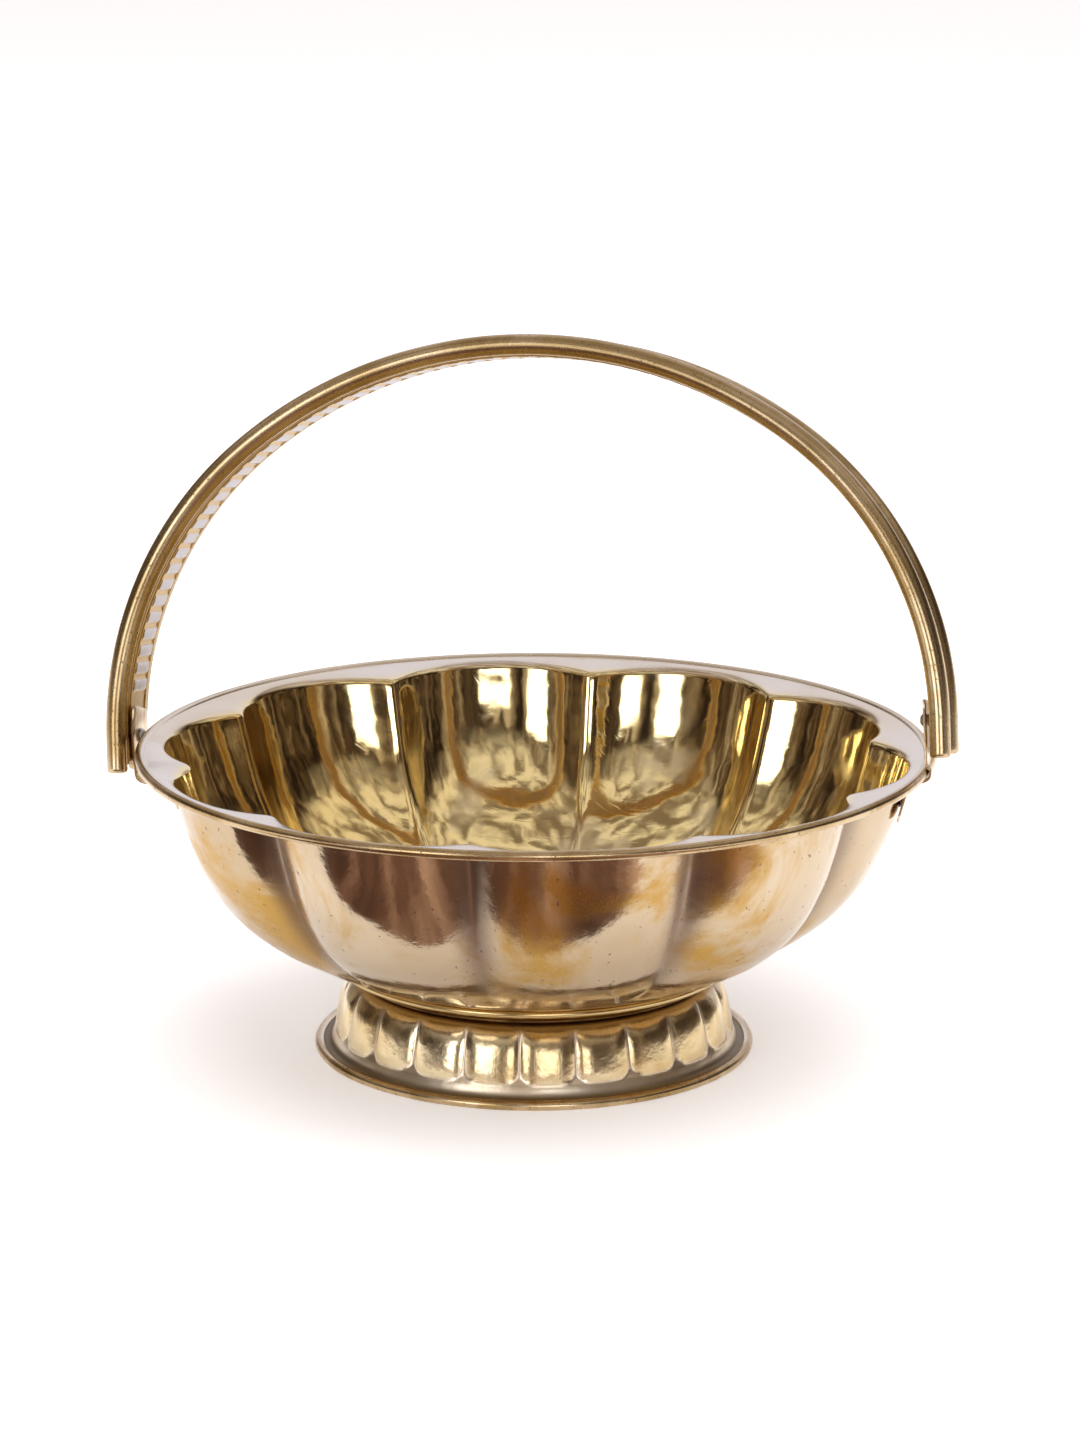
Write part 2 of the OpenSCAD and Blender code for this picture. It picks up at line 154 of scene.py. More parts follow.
# %% Spline, turned skins and noise
def spline(points, steps):
    """Natural cubic spline through points (n x k), with each span cut in its number of steps. Chord lengths are the
    parameter; the second derivatives solve a banded system of equations."""
    p = np.asarray(points, float)
    h = np.linalg.norm(np.diff(p[:, :2], axis=0), axis=1)
    n = len(p)
    a, b = np.eye(n), np.zeros((n, p.shape[1]))
    k = np.arange(1, n - 1)
    a[k, k - 1], a[k, k], a[k, k + 1] = h[k - 1], 2 * (h[k - 1] + h[k]), h[k]
    b[k] = 6 * ((p[k + 1] - p[k]) / h[k, None] - (p[k] - p[k - 1]) / h[k - 1, None])
    m = np.linalg.solve(a, b)
    span = np.repeat(np.arange(n - 1), steps)
    f = np.concatenate([np.arange(s) / s for s in steps])
    span, f = np.append(span, n - 2), np.append(f, 1.0)
    hs, f = h[span, None], f[:, None]
    left, right = (1 - f), f
    bend = (left**3 - left) * m[span] + (right**3 - right) * m[span + 1]
    return left * p[span] + right * p[span + 1] + bend * hs**2 / 6


def turned(profile, turns):
    """Grid of a profile (radius, height) turned round the Z axis: x = r sin a, y = -r cos a, from the front."""
    r, z = profile[:, 0][:, None], profile[:, 1][:, None]
    a = turns[None, :]
    return np.stack([r * np.sin(a), -r * np.cos(a), z + 0 * a], -1)


def swell(a, seed, count=5, low=2, high=9):
    """A gentle wave round the ring, a sum of a few whole-number sines with seeded phases, between about -1 and 1."""
    dice = np.random.default_rng(seed)
    k, phase = dice.integers(low, high, count), dice.uniform(0, 2 * np.pi, count)
    return np.sin(a[..., None] * k + phase).sum(-1) / np.sqrt(count)


def rise(x, edge, soft):
    """0 below edge - soft, 1 above edge + soft, and a smooth step between them."""
    t = np.clip((x - edge + soft) / (2 * soft), 0, 1)
    return t * t * (3 - 2 * t)


def arc_length(profile):
    """Distance run along a profile up to each of its points."""
    return np.append(0, np.cumsum(np.linalg.norm(np.diff(profile[:, :2], axis=0), axis=1)))


def ring_uv(profile, cols):
    """UV of a turned skin: U is the share of the turn, V the distance along the profile in metres."""
    u, v = np.meshgrid(np.arange(cols) / cols, arc_length(profile) * MM)
    return np.stack([u, v], -1)


# %% [markdown]
# ## The bowl
# The sheet is raised into ten lobes, with a nearly flat lip that runs inwards as a tongue at every crease. A lobe is
# the wall's radius times one minus a share of the groove depth; the share rises steeply next to the crease, which
# gives full round lobes with narrow valleys between them. The inside is the same skin moved along its normals by the
# sheet's thickness, so that an outside valley is an inside ridge, as in real sheet.

# %% Bowl wall
WALL = [(137.1, 107.4, 0), (135.2, 106.9, 0), (133.6, 106.5, 0.3), (132.6, 105.7, 0.8), (131.9, 104, 1),
        (130.5, 99.4, 1), (128.5, 92.5, 1), (126.2, 85.4, 1), (123.4, 78.2, 0.98), (120, 71.4, 0.96),
        (116.4, 65.2, 0.94), (112, 59.4, 0.9), (106.7, 53.8, 0.85), (100.5, 48.8, 0.78), (94.2, 44.5, 0.68),
        (88, 41.1, 0.5), (83, 38.5, 0.25), (78.5, 36.4, 0.1), (75, 35.3, 0), (72, 34.9, 0)]
WALL_STEPS = [2, 4, 5, 6, 6, 4, 4, 4, 4, 4, 4, 4, 4, 4, 4, 4, 4, 3, 3]


def lobe_turns(per_half):
    """Angles round the bowl, closer together next to each crease: distance from the crease runs as a power."""
    d = (np.arange(per_half) / per_half) ** 1.45
    half = np.pi / LOBES
    one = np.sort(np.concatenate([d, 2 - d[:0:-1], [1.0]]))
    return (np.arange(LOBES)[:, None] * 2 * half + one[None, :] * half).ravel()


def crease_share(a):
    """1 on a crease, 0 in the middle of a lobe. d is the distance from the crease in half lobes, rounded off near
    nought by a small soft radius, and the share is (1 - d) to the power 2.4."""
    d = 1 - np.abs((a * LOBES / (2 * np.pi)) % 1 * 2 - 1)
    soft = 0.055
    d = np.sqrt(d**2 + soft**2) - soft * (1 - d)
    return np.clip(1 - d, 0, 1) ** 2.4


def bowl_grid(turns):
    """Outer and inner skins of the bowl as one grid of rows, from the middle of the underside out to the rim and
    back along the inside to the middle of the floor."""
    line = spline(WALL, WALL_STEPS)
    line = np.vstack([line, [(r, FOOT_H, 0) for r in (68, 62, 54, 44, 33, 22, 12, 5, 1)]])
    r, z, share = (line[:, k][:, None] for k in range(3))
    a = turns[None, :]
    depth = GROOVE * (1 + 0.05 * swell(a, 3))
    radius = r * (1 - share * depth * crease_share(a))
    hammered = np.clip((z - 38) / 30, 0, 1) * np.clip((106 - z) / 4, 0, 1)
    radius = radius + 0.12 * swell(a, 5, low=3, high=14) * hammered
    outer = np.stack([radius * np.sin(a), -radius * np.cos(a), z + 0 * a], -1)
    along = np.gradient(outer, axis=0)
    wide = np.concatenate([outer[:, -1:], outer, outer[:, :1]], 1)
    normal = np.cross(along, wide[:, 2:] - wide[:, :-2])
    normal /= np.linalg.norm(normal, axis=-1, keepdims=True)
    normal *= np.where(normal[-1, 0, 2] > 0, 1, -1)
    inner = outer + normal * SHEET
    inner[:2] = outer[:2] + [0, 0, SHEET * 0.9]
    lip = np.clip((z - 104.6) / 1.3, 0, 1) + 0 * a
    groove = crease_share(a) * share
    grid = np.concatenate([outer[::-1], inner], 0)
    traits = {"inside": np.concatenate([0 * groove, 0 * groove + 1], 0),
              "lip": np.concatenate([lip[::-1], lip], 0),
              "groove": np.concatenate([groove[::-1], groove], 0)}
    v = np.concatenate([arc_length(line)[::-1], arc_length(line) + 300]) * MM
    u, v = np.meshgrid(turns / (2 * np.pi), v)
    return grid, np.stack([u, v], -1), traits


BOWL_TURNS = lobe_turns(20)
bowl_points, bowl_uv, bowl_traits = bowl_grid(BOWL_TURNS)
bowl = skin("bowl", bowl_points, bowl_uv, bowl_traits)

# %% [markdown]
# ## Wired edges, neck and foot
# The rim and the base are rolled over a wire, so each is a round bead with a fine line where the sheet tucks in. The
# neck is a turned collar. The foot is stamped with 22 gadroons: each is a low dome with a squarish outline, firm at
# its lower edge and fading upwards, and neighbours meet in a narrow crease.


# %% Beads
def bead_grid(ring_r, height, wire_r, seam, cols, sides, flat=False):
    """A round bead: circle of radius wire_r carried round a ring. A narrow valley of 0.15 mm at the angle seam
    is the tucked edge of the sheet; the wire's thickness sways by two hundredths."""
    turns = np.arange(cols) / cols * 2 * np.pi
    s = np.arange(sides) / sides * 2 * np.pi
    gap = np.abs((s[None, :] - seam + np.pi) % (2 * np.pi) - np.pi)
    rad = wire_r * (0.985 + 0.012 * swell(turns, 11)[:, None]) - 0.15 * np.exp(-(gap / 0.16) ** 2)
    r, z = ring_r + rad * np.cos(s), height + rad * np.sin(s)
    if flat:
        z = np.maximum(z, 0)
    a = turns[:, None]
    grid = np.stack([r * np.sin(a), -r * np.cos(a), z], -1)
    v, u = np.meshgrid(np.arange(cols) / cols, s / (2 * np.pi), indexing="ij")
    # paler on the top and inner side of the bead's section: painted sheen, partly wear
    rubbed = np.clip(1.6 * np.cos(s - math.radians(165)) - 0.2, 0, 1)[None, :] + 0 * a
    return grid, np.stack([u, v], -1), {"rubbed": rubbed}


rim_points, rim_uv, rim_traits = bead_grid(RIM_R - BEAD_R, RIM_Z, BEAD_R, math.radians(232), 420, 36)
rim = skin("rim_bead_wire", rim_points, rim_uv, rim_traits, loop_rows=True)
base_points, base_uv, base_traits = bead_grid(
    FOOT_R - BEAD_R, BEAD_R - 0.15, BEAD_R, math.radians(118), 320, 36, flat=True)
base = skin("base_bead_wire", base_points, base_uv, base_traits, loop_rows=True)

# %% Neck collar
NECK = [(62.2, 26.8), (62.9, 26.9), (63.6, 27.5), (63.0, 28.6), (63.4, 29.8), (64.6, 30.4),
        (66.8, 30.4), (68.6, 30.42), (69.7, 30.75), (70.27, 31.5), (70.2, 32.3), (69.6, 32.95), (68.9, 33.2),
        (69.6, 33.5), (70.9, 33.9), (71.35, 34.4), (71.3, 34.86), (70.5, FOOT_H)]
NECK_BORE, NECK_COLS = 57.5, 240
neck_line = np.vstack([[NECK_BORE, 26.8], [60, 26.8], spline(NECK, [3] * (len(NECK) - 1)), [64, FOOT_H],
                       [NECK_BORE, FOOT_H], [NECK_BORE, 31]])
neck_turns = np.arange(NECK_COLS) / NECK_COLS * 2 * np.pi
neck = skin("neck", turned(neck_line, neck_turns), ring_uv(neck_line, NECK_COLS), loop_rows=True)

# %% Foot with gadroons
FOOT = [(61.6, 26.8), (63, 26), (64.3, 24.8), (65.5, 22.8), (66.7, 19.6), (67.6, 16), (68.3, 12.6), (69, 9.9),
        (69.7, 8.2), (70.3, 7.2), (71.3, 4.9), (72.2, 3.1), (73.2, 2.5), (74.5, 2.4)]
FOOT_UNDER = [(74.5, 1.3), (72.2, 1.3), (70.2, 3.4), (68.4, 7.5), (66.6, 12.6), (65, 19.6), (63.2, 23.6),
              (60.2, 25.4), (59.4, 26.8)]
GADROON_MID, GADROON_HALF = 16.2, 9.4


def gadroon_grid(cols_each):
    """The foot's wall out to its gutter and back along the under side. With s from -1 to 1 across a gadroon and t
    from -1 to 1 down it, the dome stands out by its rise times (1 - |s|^3.4) to the power 0.8 times (1 - |t|^p),
    where p is 4.5 below the middle, for a firm lower edge, and 2.2 above it, where the dome fades into the wall."""
    outer = spline(FOOT, [4, 4, 4, 6, 6, 6, 6, 6, 5, 4, 3, 3, 3])
    under = spline(FOOT_UNDER, [2, 3, 3, 3, 3, 3, 3, 2])
    line = np.vstack([outer, under])
    s = np.linspace(-1, 1, cols_each, endpoint=False)
    s = np.sign(s) * np.abs(s) ** 0.8
    a = ((np.arange(GADROONS)[:, None] + (s[None, :] + 1) / 2) * 2 * np.pi / GADROONS).ravel()[None, :]
    s = np.tile(s, GADROONS)[None, :]
    r, z = line[:, 0][:, None], line[:, 1][:, None]
    size = 1 + 0.1 * np.repeat(np.random.default_rng(8).uniform(-1, 1, GADROONS), cols_each)[None, :]
    t = (z - GADROON_MID) / GADROON_HALF
    corner = 1 - 0.5 * np.clip(-t, 0, 1) ** 4
    across = np.clip(1 - np.abs(s / corner**0.5 / 0.99) ** 3.4, 0, 1) ** 0.8
    dome = across * np.clip(1 - np.abs(t) ** np.where(t > 0, 2.2, 4.5), 0, 1)
    dome[len(outer):] = 0
    radius = r + GADROON_RISE * dome * size
    turn = a + GADROON_TURN
    grid = np.stack([radius * np.sin(turn), -radius * np.cos(turn), z + 0 * a], -1)
    # edge marks the creases between gadroons and their lower edge, where the foot's finish paints shade
    edge = np.abs(s) ** 14 * rise(0.95 - np.abs(t), 0.2, 0.2) + 0.8 * np.exp(-((t + 1) / 0.05) ** 2)
    edge = np.clip(edge, 0, 1)
    edge[len(outer):] = 0
    v, u = np.meshgrid(arc_length(line) * MM, a.ravel() / (2 * np.pi), indexing="ij")
    return grid, np.stack([u, v], -1), {"dome": dome, "edge": edge}


foot_points, foot_uv, foot_traits = gadroon_grid(26)
foot = skin("foot", foot_points, foot_uv, foot_traits, loop_rows=True)

# %% [markdown]
# ## The hinge line and the arch
# The two rivets lie on one line that leans a little, right side up. The handle is drawn upright on that line and
# then leans back. The arch is three arcs that meet without a kink: their centres make a 3-4-5 triangle.


# %% Placing things on the hinge line
def on_hinge(u, y, w, lean=0.0):
    """Points given along the hinge (u), across it (y) and up from it (w), all in mm, as points of the row frame."""
    y, w = y * math.cos(lean) + w * math.sin(lean), -y * math.sin(lean) + w * math.cos(lean)
    x = HINGE_X + u * math.cos(TILT) - w * math.sin(TILT)
    return np.stack([x, y + 0 * x, HINGE_Z + u * math.sin(TILT) + w * math.cos(TILT)], -1)


def arch_line(inset, s):
    """Place (u, w) and outward direction at distance s along the arch, measured from its crown, on a line that
    lies inset inside the outer edge: crown arc, then side arc, then straight leg, mirrored for negative s."""
    side_r = ARCH_A - 3 * ARCH_FLAT - inset
    crown_r = side_r + 5 * ARCH_FLAT
    phi = math.atan2(4, 3)
    crown_len = crown_r * (math.pi / 2 - phi)
    side_len = side_r * phi
    d = np.abs(s)
    t1 = np.pi / 2 - np.clip(d, 0, crown_len) / crown_r
    t2 = phi - np.clip(d - crown_len, 0, side_len) / side_r
    down = np.clip(d - crown_len - side_len, 0, None)
    on_crown = d <= crown_len
    u = np.where(on_crown, crown_r * np.cos(t1), 3 * ARCH_FLAT + side_r * np.cos(t2))
    w = np.where(on_crown, crown_r * np.sin(t1) - 4 * ARCH_FLAT, side_r * np.sin(t2)) - down
    t = np.where(on_crown, t1, t2)
    sign = np.where(s < 0, -1, 1)
    return np.stack([u * sign, w], -1), np.stack([np.cos(t) * sign, np.sin(t)], -1), crown_len + side_len


# %% [markdown]
# ## Rolled edges of the handle
# Each edge of the strap is curled into a tube. The tube is a circle carried along the arch; a narrow valley on its
# inner side is where the curl meets the strip, and the free ends are closed a little by the cutter.


# %% Rolled edges
def roll_grid(y, toward, sides=40):
    """Circle of the roll's radius carried along the arch at the distance y from the middle of the strap. toward is
    the side where the strip is. Both ends are rounded off in four short rows."""
    half = arch_line(ROLL_R, np.zeros(1))[2] + LEG
    ease = np.array([0, 0.25, 0.6, 1.1, 1.8])
    inset = np.array([0.62, 0.84, 0.945, 0.99, 1.0])
    rows = 420
    s = np.concatenate([-half + ease, np.linspace(-half + 3, half - 3, rows), half - ease[::-1]])
    size = np.concatenate([inset, np.ones(rows), inset[::-1]])[:, None]
    place, out, _ = arch_line(ROLL_R, s)
    c = np.arange(sides)[None, :] / sides * 2 * np.pi
    gap = np.abs((c - (np.pi - toward * 0.9) + np.pi) % (2 * np.pi) - np.pi)
    rad = (ROLL_R - 0.02 + 0.03 * np.sin(s / 23)[:, None] * np.sin(s / 7.7 + y)[:, None]) * size
    rad = rad - 0.35 * np.exp(-(gap / 0.13) ** 2)
    u = place[:, :1] + out[:, :1] * rad * np.cos(c)
    w = place[:, 1:] + out[:, 1:] * rad * np.cos(c)
    grid = on_hinge(u, y + rad * np.sin(c), w, LEAN)
    v, uu = np.meshgrid(s * MM, c.ravel() / (2 * np.pi), indexing="ij")
    return grid, np.stack([uu, v], -1)


roll_skins = {}
for place_name, side in (("front", -1), ("back", 1)):
    roll_points, roll_uv = roll_grid(side * ROLL_Y, -side)
    roll_skins[place_name] = skin(f"rolled_edge_{place_name}", roll_points, roll_uv)

# %% [markdown]
# ## The ribbed strip
# Between the rolls runs a strip with a row of pressed pads, a fine raised lip along each side and a small bead
# between pads, next to each lip. All of that is a height over the strip, added along its normal, so that the relief
# is real geometry and its shadows and glints are right.

# %% Strip with pressed pads
PAD_PITCH, PAD_LOW, PAD_H = 6.2, 15.0, 0.5


def strip_grid():
    """Closed section of the strip carried along the arch. The inner face rises by the pads, lips and beads; the
    outer face sinks under each pad by half as much, as pressed sheet does."""
    mid_inset = ARCH_A - STRIP_IN
    reach = arch_line(mid_inset, np.zeros(1))[2]
    pads = int((reach - PAD_LOW) / PAD_PITCH)
    steps = np.array([0, 0.09, 0.155, 0.2, 0.26, 0.5, 0.74, 0.8, 0.845, 0.91])
    ribs = ((np.arange(-pads, pads)[:, None] + steps) * PAD_PITCH).ravel()
    low = reach + LEG - 3
    legs = np.linspace(pads * PAD_PITCH, low, 14)
    s = np.concatenate([-legs[::-1], ribs[1:], legs])
    edge, pad_edge = 13.3, 8.45
    y = np.concatenate([[-edge, -12, -10.6, -10.1], np.linspace(-9.9, -9.1, 6),
                        [-8.8, -8.5, -8.1, -7.6, -6.5, -3, 0]])
    y = np.concatenate([y, -y[-2::-1]])
    y_out = np.linspace(edge, -edge, 12)
    phase = (s / PAD_PITCH) % 1
    live = rise(pads * PAD_PITCH - np.abs(s), 0.3, 0.3)
    pad_s = rise(phase, 0.175, 0.075) * rise(1 - phase, 0.175, 0.075) * live
    pad = pad_s[:, None] * rise(pad_edge - np.abs(y), 0, 0.45)[None, :]
    lip_h = 0.42
    lip_y = np.exp(-(((np.abs(y) - 9.5) / 0.28) ** 2))[None, :]
    lip = lip_h * lip_y * rise(reach - 6 - np.abs(s), 0, 3)[:, None]
    near = np.minimum(phase, 1 - phase) * PAD_PITCH
    bead_y = np.exp(-(((np.abs(y) - 8.6) / 0.5) ** 2))[None, :]
    bead = 0.4 * np.exp(-((near / 0.55) ** 2))[:, None] * bead_y * live[:, None]
    inner_h = PAD_H * pad + lip + bead
    outer_h = -PAD_H / 2 * pad_s[:, None] * rise(pad_edge - np.abs(y_out), 0, 2)[None, :]
    face, out, _ = arch_line(mid_inset, s)
    yy = np.concatenate([y, y_out])[None, :]
    off = np.concatenate([-inner_h, STRIP_T + outer_h], 1)
    u = face[:, :1] + out[:, :1] * off
    w = face[:, 1:] + out[:, 1:] * off
    traits = {"pad": np.concatenate([pad, 0 * outer_h], 1),
              "glint": np.concatenate([np.clip((lip + bead) / lip_h, 0, 1), 0 * outer_h], 1)}
    v, uu = np.meshgrid(s * MM, yy.ravel() * MM, indexing="ij")
    return on_hinge(u, yy + 0 * u, w, LEAN), np.stack([uu, v], -1), traits


strip_points, strip_uv, strip_traits = strip_grid()
strip = skin("ribbed_strip", strip_points, strip_uv, strip_traits)

# %% [markdown]
# ## Brackets
# A bracket is a flat blank with rounded corners and a rivet hole, bent along its length. The blank is laid out flat
# first: a ring of points round the hole grows into a square, and rows of points make the tail. Bending then moves
# each point to its place along the bent line. Solidify gives the sheet its thickness and Bevel softens the cut edge.


# %% Bent sheet
def round_line(points, radius, steps=5):
    """A line through points with each inner corner rounded: a corner gives way to a quadratic curve that starts and
    ends radius away from it, or at 45 hundredths of the shorter neighbour span."""
    p = np.asarray(points, float)
    before, after = p[:-2] - p[1:-1], p[2:] - p[1:-1]
    lb, la = np.linalg.norm(before, axis=1), np.linalg.norm(after, axis=1)
    cut = np.minimum(radius, 0.45 * np.minimum(lb, la))[:, None]
    start, end = p[1:-1] + before / lb[:, None] * cut, p[1:-1] + after / la[:, None] * cut
    t = np.linspace(0, 1, steps)[None, :, None]
    curve = (1 - t) ** 2 * start[:, None] + 2 * t * (1 - t) * p[1:-1][:, None] + t**2 * end[:, None]
    return np.vstack([p[:1], curve.reshape(-1, 2), p[-1:]])


def bent_plate(name, line, pivot_s, side):
    """The flat blank, bent: a point at s along the line and y across it goes to the line's place at s. A ring of the
    patch is a circle near the hole and turns into the sum-of-tenth-powers curve at the top, which rounds the two
    corners; the top edge slopes down towards the back. side is 1 for the right bracket and -1 for the left, whose
    line is given mirrored."""
    run = arc_length(line)
    half = BRACKET_W / 2
    spokes, ring_count = 48, 5
    around = np.arange(spokes) / spokes * 2 * np.pi + np.pi / 4
    square = np.stack([np.sin(around), np.cos(around)], -1)
    box_norm, round_norm = np.abs(square).max(1), (np.abs(square) ** 10).sum(1) ** 0.1
    square = square / np.where(square[:, 1] < 0, round_norm, box_norm)[:, None]
    grow = np.array([0, 0.12, 0.35, 0.65, 1.0])[:, None, None]
    top = 8.0
    up = pivot_s - 0.3 - (square[:, 0] * half + half) * TOP_SLOPE
    outline = np.stack([square[:, 0] * half, square[:, 1] * np.where(square[:, 1] < 0, up, top)], -1)
    patch = np.stack([np.sin(around), np.cos(around)], -1) * HOLE_R * (1 - grow) + outline * grow
    flat = patch.reshape(-1, 2) + [0, pivot_s]
    spot, following = np.arange(spokes), (np.arange(spokes) + 1) % spokes
    rings = [(k * spokes + spot, k * spokes + following) for k in range(ring_count)]
    faces = [np.stack([a, b, d, c], -1) for (a, b), (c, d) in zip(rings, rings[1:])]
    edge = (ring_count - 1) * spokes + np.where(np.isclose(patch[-1, :, 1], top))[0]
    edge = edge[np.argsort(flat[edge, 0])]
    tail_s = np.linspace(pivot_s + top, run[-1], 60)[1:]
    taper = 1 - 0.09 * rise(tail_s, run[-1] - 1.5, 1.5)
    tail = np.stack([flat[edge, 0][None, :] * taper[:, None], tail_s[:, None] + 0 * edge[None, :]], -1)
    base_i, cols = len(flat), len(edge)
    flat = np.vstack([flat, tail.reshape(-1, 2)])
    rows = np.vstack([edge, base_i + np.arange(len(tail_s) * cols).reshape(-1, cols)])
    faces.append(np.stack([rows[:-1, :-1], rows[:-1, 1:], rows[1:, 1:], rows[1:, :-1]], -1).reshape(-1, 4))
    faces = np.vstack(faces)
    x, z = (np.interp(flat[:, 1], run, line[:, k]) for k in range(2))
    points = np.stack([x * side, flat[:, 0], z], -1) * MM
    mesh = bpy.data.meshes.new(name)
    mesh.from_pydata(points.tolist(), [], faces.tolist())
    mesh.update()
    piece = bpy.data.objects.new(name, mesh)
    bpy.context.scene.collection.objects.link(piece)
    thick = piece.modifiers.new("sheet", "SOLIDIFY")
    thick.thickness, thick.offset, thick.use_even_offset = BRACKET_T * MM, 0, True
    soft = piece.modifiers.new("filed edge", "BEVEL")
    soft.width, soft.segments = 0.16 * MM, 2
    soft.limit_method, soft.angle_limit = "ANGLE", math.radians(50)
    mesh.polygons.foreach_set("use_smooth", np.ones(len(faces), bool))
    print(name, len(faces), "faces before its thickness,", round(float(run[-1]), 1), "mm long")
    return piece


def hinge_spot(u, w):
    """World x and z, in mm, of a point of the hinge frame."""
    p = on_hinge(np.array(float(u)), np.array(0.0), np.array(float(w)))
    return np.array([p[0], p[2]])


STRIP_SIDE_R = ARCH_A - 3 * ARCH_FLAT - (ARCH_A - STRIP_IN)
PLATE_MID = PLATE_OUT - BRACKET_T / 2
RIGHT_MID = PLATE_MID - RIGHT_IN
HOOK = BEAD_R + 0.05 + BRACKET_T / 2
TAB_OFF = 0.5 + BRACKET_T / 2
BEAD_C = RIM_R - BEAD_R


def lean_in(w):
    """How far the top of a bracket leans inwards: the arch has come in by R - sqrt(R^2 - r^2) at the corner."""
    r = math.hypot(BRACKET_W / 2, w)
    return max(0, STRIP_SIDE_R - math.sqrt(STRIP_SIDE_R**2 - r * r) - SIDE_GAP) + 0.25


def ray(angle):
    """Unit step (x, z) from the middle of the bead, at an angle below the horizontal."""
    return np.array([math.cos(math.radians(angle)), -math.sin(math.radians(angle))])


def off_wall(z, more):
    """Middle of a tab at the height z: it stands off the wall of the bowl by its own gap and more."""
    radius, height = np.array(WALL[::-1])[:, :2].T
    return np.interp(z, height, radius) + TAB_OFF + more, z


# each line runs down from the top, over or past the rim bead, to the end of the soldered tab
right_line = np.array([
    hinge_spot(RIGHT_MID, RIGHT_TOP), hinge_spot(RIGHT_MID, 3), hinge_spot(RIGHT_MID, -4),
    hinge_spot(RIGHT_MID, 3.2 - 15.2 - BEAD_R), (BEAD_C + HOOK, RIM_Z + 1.1), (BEAD_C + HOOK, RIM_Z - 0.4),
    (BEAD_C, RIM_Z - 0.4) + HOOK * ray(35), (BEAD_C, RIM_Z - 0.4) + HOOK * ray(65),
    (BEAD_C, RIM_Z - HOOK - 0.6),
    off_wall(RIM_Z - HOOK - 2, 1.6), off_wall(RIM_Z - 6, 0.4), off_wall(RIM_Z - 8.2, 0.15),
    off_wall(RIM_Z - 14, 0.25), off_wall(RIM_Z - 18, 0.5)])
flip = np.array([-1, 1])
low = hinge_spot(-PLATE_MID, -12) * flip
left_line = np.array([
    hinge_spot(lean_in(LEFT_TOP) + PAD_H - PLATE_MID, LEFT_TOP) * flip, hinge_spot(-PLATE_MID, 3) * flip,
    hinge_spot(-PLATE_MID, -4) * flip, low, low - (0.6, 1.4), low - (1.8, 2.3), low - (3.4, 2.6),
    off_wall(low[1] - 2.8, 3.8), off_wall(low[1] - 3.4, 1.6), off_wall(low[1] - 5, 0.7),
    off_wall(low[1] - 9.5, 0.3), off_wall(low[1] - 12, 0.7)])
bracket_right = bent_plate("bracket_right_plate", round_line(right_line, 0.9), RIGHT_TOP, 1)
bracket_left = bent_plate("bracket_left_plate", round_line(left_line, 0.9), LEFT_TOP + 0.06, -1)

# %% [markdown]
# ## Rivets and solder
# A rivet is turned: a domed head with a small rim, a shank, and a flat tail that was hammered over a washer shape.
# The solder is a soft lump between the tab and the wall, swollen at its edge where it ran out.


# %% Rivets and solder
def rivet_skin(name, side):
    """Profile (radius, distance along the hinge) turned round the hinge line; side -1 mirrors it to the left."""
    top = PLATE_OUT - BRACKET_T - (RIGHT_IN if side > 0 else 0)
    tail = STRIP_IN + STRIP_T + SIDE_GAP
    line = spline([(0.25, top - 2.1), (0.9, top - 2.03), (1.7, top - 1.66), (2.3, top - 1.05),
                   (2.6, top - 0.45), (2.64, top - 0.12), (2.45, top)], [3, 3, 3, 3, 3, 2])
    rest = [(2.0, top), (2.0, top + 0.5), (2.0, tail - 0.05), (2.05, tail), (2.95, tail), (3.16, tail + 0.18),
            (3.2, tail + 0.5), (3.16, tail + 0.85), (2.8, tail + 1.15), (1.6, tail + 1.28), (0.4, tail + 1.3)]
    line = np.vstack([line, rest])
    a = np.arange(40) / 40 * 2 * np.pi
    r = line[:, 0][:, None] * (1 + 0.012 * np.sin(3 * a + 1) + 0.008 * np.sin(7 * a))
    u = (line[:, 1][:, None] + 0 * a) * side
    return skin(name, on_hinge(u, r * np.sin(a), r * np.cos(a)))


rivet_pieces = {"right": rivet_skin("rivet_right_pin", 1), "left": rivet_skin("rivet_left_pin", -1)}


def solder_skin(name, side, high, low_, half_w):
    """A flattened lump from the point high to the point low_ (x, z), round in section and uneven along Y."""
    s = np.linspace(-1, 1, 60)
    c = np.arange(28) / 28 * 2 * np.pi
    dice = np.random.default_rng(21)
    wave = 1 + 0.1 * np.sin(s * 9 + dice.uniform(0, 6)) + 0.07 * np.sin(s * 23 + dice.uniform(0, 6))
    end = np.sqrt(np.clip(1 - s**6, 0.02, 1))
    mid, span = (np.array(high) + low_) / 2, (np.array(high) - low_) / 2
    across = np.array([span[1], -span[0]]) / np.linalg.norm(span) * 0.42
    size = (wave * end)[:, None]
    along = np.sign(np.cos(c)) * np.abs(np.cos(c)) ** 0.7 * size
    thick = np.sin(c) * end[:, None]
    x = (mid[0] + span[0] * along + across[0] * thick) * side
    z = mid[1] + span[1] * along + across[1] * thick
    return skin(name, np.stack([x, s[:, None] * half_w + 0 * x, z], -1))


def seam_end(z):
    """An end of a seam's section: a quarter of a millimetre off the wall at the height z."""
    x, _ = off_wall(z, 0.28 - TAB_OFF)
    return x, z


half_solder = (BRACKET_W - 3) / 2
solder_pieces = {
    "right": solder_skin("solder_right_seam", 1, seam_end(RIM_Z - 8.6), seam_end(RIM_Z - 13.6), half_solder),
    "left": solder_skin("solder_left_seam", -1, seam_end(low[1] - 5.6), seam_end(low[1] - 9.4), half_solder)}

# %% [markdown]
# ## Shader sums written as Python
# A material is a sum over sockets. A small class wraps one socket, so that `1 - mask` or `0.2 + 0.3 * dust` adds the
# Math nodes by itself. Every other node comes from one method that takes its type, its settings and its inputs.


